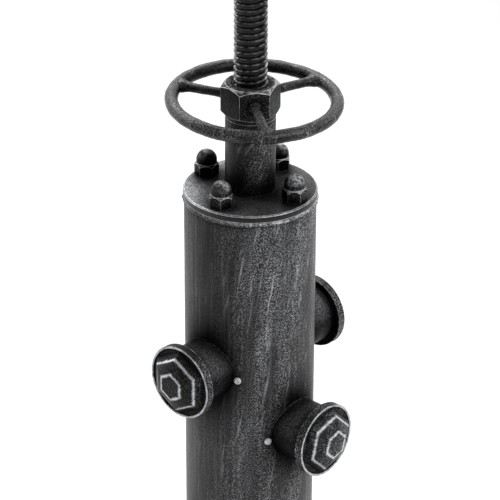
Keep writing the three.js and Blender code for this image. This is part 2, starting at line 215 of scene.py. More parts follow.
def dry_brushed_paint(name, paint="#101011", silver="#e8eaee", streaks=0.0, scuffs=0.0,
                      speckle=0.5, upward=0.2, edges=1.0, level_edges=0.3, dents=0.25, lean=10,
                      gloss=0.4, shine=0.3, shelter_and_shade=0.93, wear_and_highlight_side=(1, 0, 0), mottled=False):
    material, tree = new_material(name)
    place = add(tree, "ShaderNodeTexCoord").outputs["Object"]
    facing = add(tree, "ShaderNodeNewGeometry").outputs["Normal"]

    # the brush goes over in leaning passes about 2 cm wide, and presses harder on one side; on the lid and
    # the wheel that side also carries a painted highlight where the light falls
    leaning = add(tree, "ShaderNodeVectorRotate", {"Vector": place, "Angle": math.radians(-lean)},
                  rotation_type="Y_AXIS")
    stroke = add(tree, "ShaderNodeMapping", {"Vector": leaning, "Scale": (1.0, 1.0, 0.16)})
    pressure = add(tree, "ShaderNodeTexNoise", {"Vector": stroke, "Scale": 48.0,
                                                "Detail": 3.0, "Roughness": 0.6})
    patches = add(tree, "ShaderNodeMapRange", {"Value": pressure.outputs["Fac"], "From Min": 0.36,
                                               "From Max": 0.62, "To Min": 0.12, "To Max": 1.0})
    reach = add(tree, "ShaderNodeVectorMath", {0: facing, 1: (0.05, 0.05, 0.05), 2: place},
                operation="MULTIPLY_ADD")
    sideways = add(tree, "ShaderNodeVectorMath", {0: reach, 1: wear_and_highlight_side},
                   operation="DOT_PRODUCT")
    wear_and_highlight = add(tree, "ShaderNodeMapRange", {"Value": sideways.outputs["Value"], "From Min": -70 * MM,
                                            "From Max": 5 * MM, "To Min": 0.2, "To Max": 1.0})
    passes = add(tree, "ShaderNodeMath", {0: patches, 1: wear_and_highlight},
                 operation="MULTIPLY")

    # brush hairs leave lines about 1 mm wide and a hand long
    drawn_out = add(tree, "ShaderNodeMapping", {"Vector": place, "Scale": (1.0, 1.0, 0.02)})
    hairs = add(tree, "ShaderNodeTexNoise", {"Vector": drawn_out, "Scale": 420.0,
                                             "Detail": 2.0, "Roughness": 0.6})
    hair_lines = add(tree, "ShaderNodeMapRange", {"Value": hairs.outputs["Fac"], "From Min": 0.48,
                                                  "From Max": 0.72, "To Max": streaks})
    # scuffs are thin, and lean over with the passes
    thin = add(tree, "ShaderNodeMapping", {"Vector": leaning, "Scale": (1.0, 1.0, 0.05)})
    scratches = add(tree, "ShaderNodeTexNoise", {"Vector": thin, "Scale": 300.0,
                                                 "Detail": 2.0})
    scratch_lines = add(tree, "ShaderNodeMapRange", {"Value": scratches.outputs["Fac"],
                                                     "From Min": 0.6, "From Max": 0.74,
                                                     "To Max": scuffs})
    scratch_mask = add(tree, "ShaderNodeMath", {0: scratch_lines, 1: passes},
                       operation="MULTIPLY")

    # the spray dries to grains of 1 to 2 mm, and the brush touches their tops
    grain = add(tree, "ShaderNodeTexNoise", {"Vector": place, "Scale": 820.0, "Detail": 3.0,
                                             "Roughness": 0.7})
    grain_tops = add(tree, "ShaderNodeMapRange", {"Value": grain.outputs["Fac"], "From Min": 0.51,
                                                  "From Max": 0.6, "To Max": speckle})
    speckle_mask = add(tree, "ShaderNodeMath", {0: grain_tops, 1: passes},
                       operation="MULTIPLY")

    # the brush comes from above, and the silver on upward faces also stands in for a painted highlight of
    # the light from above
    height = add(tree, "ShaderNodeSeparateXYZ", {0: facing}).outputs["Z"]
    top_faces = add(tree, "ShaderNodeMapRange", {"Value": height, "From Min": 0.1, "From Max": 1.0,
                                                 "To Max": upward})
    chips = add(tree, "ShaderNodeTexNoise", {"Vector": place, "Scale": 230.0, "Detail": 3.0})
    texture = chips if mottled else grain
    rubbed_and_lit = add(tree, "ShaderNodeMapRange", {"Value": texture.outputs["Fac"], "From Min": 0.42,
                                              "From Max": 0.6, "To Min": 0.12, "To Max": 1.0})
    top_rubbed_and_lit = add(tree, "ShaderNodeMath", {0: top_faces, 1: rubbed_and_lit},
                     operation="MULTIPLY")
    top_wear_and_highlight = add(tree, "ShaderNodeMath", {0: top_rubbed_and_lit, 1: wear_and_highlight},
                   operation="MULTIPLY")

    # edges carry the "edge" attribute of the mesh, and wear through in patches
    edge = add(tree, "ShaderNodeAttribute", attribute_name="edge").outputs["Fac"]
    ragged = add(tree, "ShaderNodeMath", {0: chips.outputs["Fac"], 1: 1.1, 2: edge},
                 operation="MULTIPLY_ADD")
    grainy = add(tree, "ShaderNodeMath", {0: grain.outputs["Fac"], 1: 0.9, 2: ragged},
                 operation="MULTIPLY_ADD")
    edge_wear = add(tree, "ShaderNodeMapRange", {"Value": grainy, "From Min": 1.35,
                                                 "From Max": 1.95})
    near_edge = add(tree, "ShaderNodeMapRange", {"Value": edge, "From Max": 0.2})
    edge_up = add(tree, "ShaderNodeMapRange", {"Value": height, "From Min": 0.0, "From Max": 0.35,
                                               "To Min": level_edges * edges, "To Max": edges})
    edge_here = add(tree, "ShaderNodeMath", {0: edge_wear, 1: near_edge},
                    operation="MULTIPLY")
    edge_mask = add(tree, "ShaderNodeMath", {0: edge_here, 1: edge_up},
                    operation="MULTIPLY")

    mask = hair_lines
    for other in (scratch_mask, speckle_mask, top_wear_and_highlight):
        mask = add(tree, "ShaderNodeMath", {0: mask, 1: other}, operation="ADD")

    # shelter keeps the brush out of corners, and the paint there is darkened as painted shade
    opening = add(tree, "ShaderNodeAmbientOcclusion", {"Distance": 0.06}, samples=8)
    open_and_unshaded = add(tree, "ShaderNodeMapRange", {"Value": opening.outputs["AO"], "From Min": 0.7,
                                                "From Max": 0.99, "To Min": 1 - shelter_and_shade})
    kept = add(tree, "ShaderNodeMath", {0: mask, 1: open_and_unshaded},
               operation="MULTIPLY")
    with_edges = add(tree, "ShaderNodeMath", {0: kept, 1: edge_mask},
                     operation="ADD")
    silver_left = add(tree, "ShaderNodeClamp", {0: with_edges})
    # painted shade: where other parts hem the surface in, the paint is mixed towards #030303
    paint_with_corner_shade = add(tree, "ShaderNodeMix", {"Factor": open_and_unshaded, "A": linear("#030303"),
                                             "B": linear(paint)}, data_type="RGBA")
    colour = add(tree, "ShaderNodeMix", {"Factor": silver_left, "B": linear(silver),
                                         "A": paint_with_corner_shade.outputs["Result"]}, data_type="RGBA")
    metal = add(tree, "ShaderNodeMath", {0: silver_left, 1: 0.6}, operation="MULTIPLY")
    roughness = add(tree, "ShaderNodeMapRange", {"Value": silver_left, "To Min": gloss,
                                                 "To Max": 0.5})
    gleam = add(tree, "ShaderNodeMath", {0: open_and_unshaded, 1: shine}, operation="MULTIPLY")
    lumps = add(tree, "ShaderNodeBump", {"Height": chips.outputs["Fac"], "Strength": 1.0,
                                         "Distance": dents * MM})
    relief = add(tree, "ShaderNodeBump", {"Height": grain.outputs["Fac"], "Strength": 0.6,
                                          "Distance": 0.4 * MM, "Normal": lumps})
    surface = add(tree, "ShaderNodeBsdfPrincipled", {
        "Base Color": colour.outputs["Result"], "Metallic": metal,
        "Roughness": roughness, "Specular IOR Level": gleam,
        "Normal": relief})
    add(tree, "ShaderNodeOutputMaterial", {"Surface": surface.outputs["BSDF"]})
    return material


# upward sets the silver on faces that point up: partly the dry brush, partly a painted highlight of the
# overhead light
COLUMN_PAINT = dry_brushed_paint("dry-brushed column paint", paint="#272728", streaks=0.06, scuffs=0.55,
                                 speckle=0.6, upward=0.2, shine=0.2)
# painted reflection: the silver on the lid's top is heavier towards the back left, where the bright studio
# shows in it
LID_PAINT = dry_brushed_paint("dry-brushed lid paint", upward=0.85, speckle=0.1, gloss=0.3,
                              edges=1.2, level_edges=0.9, wear_and_highlight_side=(-1.3, 0.8, 0))
NUT_PAINT = dry_brushed_paint("dry-brushed nut paint", upward=1.2, speckle=0.3, edges=1.5, level_edges=0.25,
                              dents=0.7, shine=0.1, mottled=True)
CAP_PAINT = dry_brushed_paint("dry-brushed cap paint", upward=0.1, speckle=0.5, edges=0.9,
                              level_edges=1.0, shine=0.1)
# painted highlight: the rim's silver is heavier on its upper left
WHEEL_PAINT = dry_brushed_paint("dry-brushed wheel paint", upward=0.26, scuffs=0.3, speckle=0.22,
                                gloss=0.15, shine=0.22, dents=0.8, wear_and_highlight_side=(-0.6, 0.6, 0.2))
print("five grades of dry-brushed paint")

# %% [markdown]
# The screw is machined steel that carries oil and old grease. Oil darkens it and makes it shine. The
# flanks near the crest are coloured bright: partly steel worn bright where the nut rubs, partly a painted
# glint of the bright studio. The slope of the surface and the distance from the axis decide where the
# bright steel shows.

# %% Oiled thread steel


def oiled_thread_steel():
    material, tree = new_material("oiled thread steel")
    place = add(tree, "ShaderNodeTexCoord").outputs["Object"]
    flat = add(tree, "ShaderNodeVectorMath", {0: place, 1: (1, 1, 0)}, operation="MULTIPLY")
    depth = add(tree, "ShaderNodeVectorMath", {0: flat}, operation="LENGTH")
    near_crest = add(tree, "ShaderNodeMapRange", {"Value": depth.outputs["Value"],
                                                  "From Min": 13.0 * MM, "From Max": 15.5 * MM})
    facing = add(tree, "ShaderNodeNewGeometry").outputs["Normal"]
    steep = add(tree, "ShaderNodeMath", {0: add(tree, "ShaderNodeSeparateXYZ", {0: facing}).outputs["Z"]},
                operation="ABSOLUTE")
    flank = add(tree, "ShaderNodeMapRange", {"Value": steep, "From Min": 0.25,
                                             "From Max": 0.8})
    grease = add(tree, "ShaderNodeTexNoise", {"Vector": place, "Scale": 240.0, "Detail": 4.0})
    smears = add(tree, "ShaderNodeMapRange", {"Value": grease.outputs["Fac"], "From Min": 0.42,
                                              "From Max": 0.6, "To Min": 0.15})
    # painted glint: the flanks near the crest are coloured bright, as well as being worn steel
    rubbed_and_lit = add(tree, "ShaderNodeMath", {0: near_crest, 1: flank},
                 operation="MULTIPLY")
    wear_and_highlight = add(tree, "ShaderNodeMath", {0: rubbed_and_lit, 1: smears},
               operation="MULTIPLY")
    colour = add(tree, "ShaderNodeMix", {"Factor": wear_and_highlight, "A": linear("#1d1d20"),
                                         "B": linear("#e0e0e2")}, data_type="RGBA")
    roughness = add(tree, "ShaderNodeMapRange", {"Value": grease.outputs["Fac"], "To Min": 0.08,
                                                 "To Max": 0.3})
    relief = add(tree, "ShaderNodeBump", {"Height": grease.outputs["Fac"], "Strength": 0.3,
                                          "Distance": 0.2 * MM})
    surface = add(tree, "ShaderNodeBsdfPrincipled", {
        "Base Color": colour.outputs["Result"], "Metallic": 0.7, "Roughness": roughness,
        "Normal": relief})
    add(tree, "ShaderNodeOutputMaterial", {"Surface": surface.outputs["BSDF"]})
    return material


THREAD_STEEL = oiled_thread_steel()

# %% [markdown]
# Steel, zinc and bronze parts share one recipe: a metal with fine turning or drawing marks and a
# little grime. The marks are rings for turned parts, which suits everything here. Grime is a low noise
# that dulls and darkens.

# %% Plain metals


TOOL_MARK = 0.8


def machined_metal(name, colour, grime, roughness=0.3, metallic=1.0):
    material, tree = new_material(name)
    place = add(tree, "ShaderNodeTexCoord").outputs["Object"]
    marks = add(tree, "ShaderNodeTexWave", {"Vector": place, "Scale": 1 / (TOOL_MARK * MM) / 20,
                                            "Distortion": 2.0, "Detail": 2.0}, wave_type="RINGS",
                rings_direction="Z")
    dirt = add(tree, "ShaderNodeTexNoise", {"Vector": place, "Scale": 140.0, "Detail": 5.0})
    dirty = add(tree, "ShaderNodeMapRange", {"Value": dirt.outputs["Fac"], "From Min": 0.4,
                                             "From Max": 0.7})
    tint = add(tree, "ShaderNodeMix", {"Factor": dirty, "A": linear(colour),
                                       "B": linear(grime)}, data_type="RGBA")
    dullness = add(tree, "ShaderNodeMapRange", {"Value": dirty, "To Min": roughness,
                                                "To Max": roughness + 0.25})
    relief = add(tree, "ShaderNodeBump", {"Height": marks.outputs["Fac"], "Strength": 0.15,
                                          "Distance": 0.1 * MM})
    surface = add(tree, "ShaderNodeBsdfPrincipled", {
        "Base Color": tint.outputs["Result"], "Metallic": metallic, "Roughness": dullness,
        "Normal": relief})
    add(tree, "ShaderNodeOutputMaterial", {"Surface": surface.outputs["BSDF"]})
    return material


ZINC = machined_metal("bright zinc plate", "#c9c9c6", "#8d8d8a")
MILL_STEEL = machined_metal("plain mill steel", "#77777a", "#3f3f41", roughness=0.38)
BRONZE = machined_metal("turned bearing bronze", "#a07a42", "#5d4424", roughness=0.34)
RIVET_ALUMINIUM = machined_metal("rivet aluminium", "#fafafa", "#d4d4d4", roughness=0.35, metallic=0.2)

# %% [markdown]
# Cast iron keeps the texture of its sand mould under the paint, with grains of 1 to 2 mm. Rubber sheet is
# nearly black, dull and finely pitted.

# %% Cast iron and rubber


def painted_casting():
    material, tree = new_material("black painted cast iron")
    place = add(tree, "ShaderNodeTexCoord").outputs["Object"]
    sand = add(tree, "ShaderNodeTexNoise", {"Vector": place, "Scale": 520.0, "Detail": 4.0,
                                            "Roughness": 0.6})
    worn_tops = add(tree, "ShaderNodeMapRange", {"Value": sand.outputs["Fac"], "From Min": 0.55,
                                                 "From Max": 0.75, "To Max": 0.4})
    edge = add(tree, "ShaderNodeAttribute", attribute_name="edge").outputs["Fac"]
    worn_edges = add(tree, "ShaderNodeMath", {0: edge, 1: sand.outputs["Fac"]}, operation="MULTIPLY")
    mask = add(tree, "ShaderNodeMath", {0: worn_tops, 1: worn_edges},
               operation="MAXIMUM")
    colour = add(tree, "ShaderNodeMix", {"Factor": mask, "A": linear("#1d1d1e"),
                                         "B": linear("#8a8a88")}, data_type="RGBA")
    relief = add(tree, "ShaderNodeBump", {"Height": sand.outputs["Fac"], "Strength": 0.6,
                                          "Distance": 0.6 * MM})
    metal = add(tree, "ShaderNodeMath", {0: mask, 1: 0.8}, operation="MULTIPLY")
    surface = add(tree, "ShaderNodeBsdfPrincipled", {
        "Base Color": colour.outputs["Result"], "Metallic": metal, "Roughness": 0.55,
        "Normal": relief})
    add(tree, "ShaderNodeOutputMaterial", {"Surface": surface.outputs["BSDF"]})
    return material


def rubber_sheet():
    material, tree = new_material("rubber sheet")
    place = add(tree, "ShaderNodeTexCoord").outputs["Object"]
    pits = add(tree, "ShaderNodeTexVoronoi", {"Vector": place, "Scale": 700.0})
    colour = add(tree, "ShaderNodeMix", {"Factor": pits.outputs["Distance"], "A": linear("#0f0f0f"),
                                         "B": linear("#1e1e1e")}, data_type="RGBA")
    relief = add(tree, "ShaderNodeBump", {"Height": pits.outputs["Distance"], "Strength": 0.5,
                                          "Distance": 0.3 * MM})
    surface = add(tree, "ShaderNodeBsdfPrincipled", {
        "Base Color": colour.outputs["Result"], "Roughness": 0.85, "Normal": relief})
    add(tree, "ShaderNodeOutputMaterial", {"Surface": surface.outputs["BSDF"]})
    return material


CASTING = painted_casting()
RUBBER = rubber_sheet()

# %% [markdown]
# The seat is glued up from boards of oiled walnut. Each board was its own piece of a tree, so its tone
# and its grain start anew. The rings of the tree are a wave along the board, pulled long and bent by
# noise, and the pores are short dark dashes.

# %% Oiled walnut boards
BOARDS = 5
BOARD_WIDTH = 2 * radius_of("seat") / BOARDS


def oiled_walnut():
    material, tree = new_material("oiled walnut")
    place = add(tree, "ShaderNodeTexCoord").outputs["Object"]
    across = add(tree, "ShaderNodeSeparateXYZ", {0: place}).outputs["X"]
    counted = add(tree, "ShaderNodeMath", {0: across, 1: BOARD_WIDTH}, operation="DIVIDE")
    # the boards meet half a board from the middle, so half is added before rounding down
    from_half = add(tree, "ShaderNodeMath", {0: counted, 1: 0.5}, operation="ADD")
    board = add(tree, "ShaderNodeMath", {0: from_half}, operation="FLOOR")
    chance = add(tree, "ShaderNodeTexWhiteNoise", {"W": board}, noise_dimensions="1D")
    shifted = add(tree, "ShaderNodeVectorMath", {0: chance.outputs["Color"], 1: (3, 3, 3),
                                                 2: place}, operation="MULTIPLY_ADD")
    drawn_out = add(tree, "ShaderNodeMapping", {"Vector": shifted, "Scale": (1.0, 0.09, 1.0)})
    rings = add(tree, "ShaderNodeTexWave", {"Vector": drawn_out, "Scale": 18.0,
                                            "Distortion": 9.0, "Detail": 3.0, "Detail Scale": 1.6,
                                            "Detail Roughness": 0.6}, bands_direction="X")
    fibre = add(tree, "ShaderNodeTexNoise", {"Vector": drawn_out, "Scale": 420.0,
                                             "Detail": 4.0, "Roughness": 0.7})
    both = add(tree, "ShaderNodeMix", {"Factor": 0.45, "A": rings.outputs["Fac"],
                                       "B": fibre.outputs["Fac"]})
    tint = add(tree, "ShaderNodeValToRGB", {"Fac": both.outputs["Result"]})
    tint.color_ramp.elements[0].position = 0.2
    tint.color_ramp.elements[0].color = linear("#472c1a")
    tint.color_ramp.elements[1].position = 0.8
    tint.color_ramp.elements[1].color = linear("#7e5636")
    board_tone = add(tree, "ShaderNodeMapRange", {"Value": chance.outputs["Value"], "To Min": 0.72,
                                                  "To Max": 1.12})
    toned = add(tree, "ShaderNodeHueSaturation", {"Value": board_tone,
                                                  "Color": tint.outputs["Color"]})
    gloss = add(tree, "ShaderNodeMapRange", {"Value": fibre.outputs["Fac"], "To Min": 0.45,
                                             "To Max": 0.7})
    relief = add(tree, "ShaderNodeBump", {"Height": fibre.outputs["Fac"], "Strength": 0.25,
                                          "Distance": 0.2 * MM})
    surface = add(tree, "ShaderNodeBsdfPrincipled", {
        "Base Color": toned.outputs["Color"], "Roughness": gloss, "Specular IOR Level": 0.3,
        "Normal": relief})
    add(tree, "ShaderNodeOutputMaterial", {"Surface": surface.outputs["BSDF"]})
    return material


WALNUT = oiled_walnut()
print("finishes:", sorted(m.name for m in bpy.data.materials if m.use_nodes))

# %% [markdown]
# ## Making and settling pieces
#
# Most of the stool is turned on a lathe, so most pieces start as a profile that goes round the axis. A
# radius or a height in the profile may be a rule that depends on the angle: that is how a hexagon with
# turned-off corners comes out of the same function. `round_edges` breaks the sharp edges, because no
# real edge is perfectly sharp and a broken edge is what catches the light.

# %% Lathe work in mesh code
STEPS = 96


def around(shape, profile, steps=STEPS):
    """Adds the closed profile of (radius, height) pairs, turned about the vertical axis."""
    rings = []
    for radius, height in profile:
        angles = [0] if radius == 0 else [i * 2 * math.pi / steps for i in range(steps)]
        ring = []
        for angle in angles:
            r = radius(angle) if callable(radius) else radius
            z = height(angle) if callable(height) else height
            ring.append(shape.verts.new((r * math.cos(angle) * MM, r * math.sin(angle) * MM, z * MM)))
        rings.append(ring)
    for lower, upper in zip(rings, rings[1:] + rings[:1]):
        for i in range(steps):
            j = (i + 1) % steps
            corners = (lower[i % len(lower)], lower[j % len(lower)],
                       upper[j % len(upper)], upper[i % len(upper)])
            different = list(dict.fromkeys(corners))
            if len(different) > 2:
                shape.faces.new(different)
    return shape


def hexagon(across):
    """The radius of a hexagon with a flat towards the front, as a rule of the angle."""
    return lambda angle: across / 2 / math.cos(angle % (math.pi / 3) - math.pi / 6)


def nut_profile(across, bottom, top, face, fall, bore=0.0):
    """A hexagon whose corners are turned off outside the face radius at both ends."""
    side = hexagon(across)
    inside = [(bore, bottom), (bore, top)] if bore else [(0, bottom), (0, top)]
    return [inside[0], (face, bottom), (side, lambda a: bottom + (side(a) - face) * fall),
            (side, lambda a: top - (side(a) - face) * fall), (face, top), inside[1]]


def round_edges(shape, width, sharper_than=25, segments=2, edges=None):
    """Breaks the sharp edges, and marks the middle of each broken edge with edge = 1."""
    bmesh.ops.recalc_face_normals(shape, faces=shape.faces)
    mark = shape.verts.layers.float.get("edge") or shape.verts.layers.float.new("edge")
    edges = edges or [edge for edge in shape.edges if len(edge.link_faces) == 2
                      and edge.calc_face_angle() > math.radians(sharper_than)]
    broken = bmesh.ops.bevel(shape, geom=edges, offset=width * MM, segments=segments, profile=0.5,
                             affect="EDGES", clamp_overlap=True)
    strip = set(broken["faces"])
    for vert in broken["verts"]:
        vert[mark] = 1.0 if all(face in strip for face in vert.link_faces) else 0.0
    return shape


def to_mesh(shape, name, place=Matrix.Identity(4)):
    bmesh.ops.recalc_face_normals(shape, faces=shape.faces)
    shape.transform(place)
    mesh = bpy.data.meshes.new(name)
    shape.to_mesh(mesh)
    shape.free()
    return mesh


# %% [markdown]
# `settle` does the same for every piece: the piece gets its finish and smooth shading, rides
# on its body, and hides the CAD nodes that it replaces. Objects stay at the origin, with their
# place in the mesh.

# %% Settle a piece on the frame


def settle(name, mesh, finish, body, nodes=(), smooth_up_to=35):
    mesh.materials.clear()
    mesh.materials.append(finish)
    mesh.shade_smooth()
    mesh.set_sharp_from_angle(angle=math.radians(smooth_up_to))
    piece = bpy.data.objects.new(name, mesh)
    bpy.context.collection.objects.link(piece)
    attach(piece, body)
    if nodes:
        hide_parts(*nodes)
    print(f"{name}: {len(mesh.polygons)} faces")
    return piece


def at_head(height=0.0):
    """Heights in the head are counted from the top of the lid."""
    return Matrix.Translation((0, 0, LID_TOP + height * MM))


def pointing_out(azimuth, height=0.0):
    """Turns a piece made about the vertical axis so that its top points out of the column."""
    return (at_head(height) @ Matrix.Rotation(math.radians(azimuth), 4, "Z")
            @ Matrix.Rotation(math.pi / 2, 4, "X"))


# %% [markdown]
# ## Geometry Nodes trees
#
# Three things on the stool repeat or follow a path: fasteners round a circle, weld beads along a seam,
# and the turns of the screw. Each gets a tree that is built once and run with its own sizes. A tree's
# result is turned into a plain mesh at once, so nothing stays live.

# %% Build and run a tree


def new_tree(name, **sizes):
    tree = bpy.data.node_groups.new(name, "GeometryNodeTree")
    tree.interface.new_socket("Geometry", in_out="INPUT", socket_type="NodeSocketGeometry")
    tree.interface.new_socket("Geometry", in_out="OUTPUT", socket_type="NodeSocketGeometry")
    for label, kind in sizes.items():
        tree.interface.new_socket(label.replace("_", " "), in_out="INPUT",
                                  socket_type="NodeSocket" + kind)
    return tree, add(tree, "NodeGroupInput")


def close_tree(tree, geometry, finish):
    real = add(tree, "GeometryNodeRealizeInstances", {0: geometry})
    painted = add(tree, "GeometryNodeSetMaterial", {"Geometry": real, "Material": finish})
    add(tree, "NodeGroupOutput", {0: painted})
    return tree


def run_tree(tree, name, start=None, **values):
    carrier = bpy.data.objects.new(name, start or bpy.data.meshes.new(name))
    bpy.context.collection.objects.link(carrier)
    modifier = carrier.modifiers.new(tree.name, "NODES")
    modifier.node_group = tree
    for socket in tree.interface.items_tree:
        label = socket.name.replace(" ", "_")
        if socket.in_out == "INPUT" and label in values:
            modifier[socket.identifier] = values[label]
    evaluated = carrier.evaluated_get(bpy.context.evaluated_depsgraph_get())
    mesh = bpy.data.meshes.new_from_object(evaluated)
    mesh.name = name
    bpy.data.objects.remove(carrier)
    return mesh


# %% [markdown]
# The first tree sets copies of one fastener round the axis. A point is made for each copy and placed by
# its number; the fastener is put on every point and turned with it. A tilt of a quarter turn lays it on
# its side, for a rivet that points outwards.

# %% Tree: fasteners round a circle


def fastener_tree():
    tree, given = new_tree("fasteners round a circle", Fastener="Object", Count="Int", Radius="Float",
                           First="Float", Step="Float", Height="Float", Tilt="Float",
                           Finish="Material")
    points = add(tree, "GeometryNodePoints", {"Count": given.outputs["Count"]})
    number = add(tree, "GeometryNodeInputIndex")
    azimuth = add(tree, "ShaderNodeMath", {0: number, 1: given.outputs["Step"],
                                           2: given.outputs["First"]}, operation="MULTIPLY_ADD")
    turn = add(tree, "ShaderNodeCombineXYZ", {"X": given.outputs["Tilt"], "Z": azimuth})
    turned_only = add(tree, "ShaderNodeCombineXYZ", {"Z": azimuth})
    backwards = add(tree, "ShaderNodeMath", {0: given.outputs["Radius"], 1: -1.0}, operation="MULTIPLY")
    in_front = add(tree, "ShaderNodeCombineXYZ", {"Y": backwards,
                                                  "Z": given.outputs["Height"]})
    spot = add(tree, "ShaderNodeVectorRotate", {"Vector": in_front,
                                                "Rotation": turned_only},
               rotation_type="EULER_XYZ")
    placed = add(tree, "GeometryNodeSetPosition", {"Geometry": points,
                                                   "Position": spot})
    fastener = add(tree, "GeometryNodeObjectInfo", {"Object": given.outputs["Fastener"]})
    copies = add(tree, "GeometryNodeInstanceOnPoints", {"Points": placed,
                                                        "Instance": fastener.outputs["Geometry"],
                                                        "Rotation": turn})
    return close_tree(tree, copies, given.outputs["Finish"])


FASTENERS = fastener_tree()


def set_round(name, shape, finish, **places):
    """Runs the fastener tree on a shape that is used up."""
    pattern_mesh = to_mesh(shape, name + " pattern")
    pattern_mesh.shade_smooth()
    pattern_mesh.set_sharp_from_angle(angle=math.radians(35))
    pattern = bpy.data.objects.new(name + " pattern", pattern_mesh)
    bpy.context.collection.objects.link(pattern)
    degrees = {key: math.radians(places.pop(key)) for key in ("First", "Step", "Tilt") if key in places}
    mesh = run_tree(FASTENERS, name, Fastener=pattern, Finish=finish, **degrees, **places)
    bpy.data.objects.remove(pattern)
    return mesh


# %% [markdown]
# The second tree lays a weld bead along a closed path. A bead is a row of frozen ripples, each a drop of
# metal that was laid half over the one before, so the bead's thickness rises and falls along its length.
# Noise makes the ripples uneven, as a hand-held torch does.

# %% Tree: weld bead along a path


def bead_tree():
    tree, given = new_tree("weld bead", Bead="Float", Ripple="Float", Unevenness="Float",
                           Wander="Float", Seed="Float", Finish="Material")
    path = add(tree, "GeometryNodeMeshToCurve", {0: given.outputs["Geometry"]})
    quarter = add(tree, "ShaderNodeMath", {0: given.outputs["Ripple"], 1: 0.25}, operation="MULTIPLY")
    fine_path = add(tree, "GeometryNodeResampleCurve", {"Curve": path,
                                                        "Length": quarter}, mode="LENGTH")
    along = add(tree, "GeometryNodeSplineParameter")
    drops = add(tree, "ShaderNodeMath", {0: along.outputs["Length"], 1: given.outputs["Ripple"]},
                operation="DIVIDE")
    phase = add(tree, "ShaderNodeMath", {0: drops, 1: 1.0}, operation="PINGPONG")
    place = add(tree, "GeometryNodeInputPosition")
    wander = add(tree, "ShaderNodeTexNoise", {"Vector": place, "Scale": 160.0,
                                              "Detail": 2.0, "W": given.outputs["Seed"]},
                 noise_dimensions="4D")
    lumps = add(tree, "ShaderNodeMapRange", {"Value": wander, "From Min": 0.3,
                                             "From Max": 0.7, "To Min": -1.0, "To Max": 1.0})
    uneven = add(tree, "ShaderNodeMath", {0: lumps, 1: given.outputs["Unevenness"],
                                          2: 1.0}, operation="MULTIPLY_ADD")
    rippled = add(tree, "ShaderNodeMath", {0: phase, 1: 0.16, 2: uneven},
                  operation="MULTIPLY_ADD")
    drift = add(tree, "ShaderNodeTexNoise", {"Vector": place, "Scale": 45.0, "Detail": 2.0,
                                             "W": given.outputs["Seed"]}, noise_dimensions="4D")
    from_middle = add(tree, "ShaderNodeMath", {0: drift, 1: 0.5}, operation="SUBTRACT")
    drifted = add(tree, "ShaderNodeMath", {0: from_middle, 1: given.outputs["Wander"]},
                  operation="MULTIPLY")
    sideways = add(tree, "ShaderNodeCombineXYZ", {"Z": drifted})
    laid_path = add(tree, "GeometryNodeSetPosition", {"Geometry": fine_path,
                                                      "Offset": sideways})
    section = add(tree, "GeometryNodeCurvePrimitiveCircle", {"Resolution": 10,
                                                             "Radius": given.outputs["Bead"]})
    bead = add(tree, "GeometryNodeCurveToMesh", {"Curve": laid_path,
                                                 "Profile Curve": section,
                                                 "Scale": rippled})
    return close_tree(tree, bead, given.outputs["Finish"])


BEADS = bead_tree()


def closed_path(points):
    mesh = bpy.data.meshes.new("path")
    mesh.from_pydata(points, [(i, (i + 1) % len(points)) for i in range(len(points))], [])
    return mesh


def ring_path(radius, height, count=240):
    return closed_path([Vector((radius * math.cos(t), radius * math.sin(t), height)) * MM
                        for t in (i * 2 * math.pi / count for i in range(count))])


def saddle_path(pipe_radius, column_radius, place, count=240):
    """The seam between a pipe and the column it stands on, for a pipe made about the vertical axis."""
    points = []
    for i in range(count):
        t = i * 2 * math.pi / count
        x, y = pipe_radius * math.cos(t), pipe_radius * math.sin(t)
        points.append(place @ (Vector((x, y, math.sqrt(column_radius ** 2 - x ** 2))) * MM))
    return closed_path(points)


# %% [markdown]
# The third tree winds the screw's thread. A trapezium section follows a spiral, and the normals of the
# spiral are kept level so that the section doesn't roll. The core arrives as the tree's own geometry and
# is joined to the thread at the end.

# %% Tree: trapezoidal thread


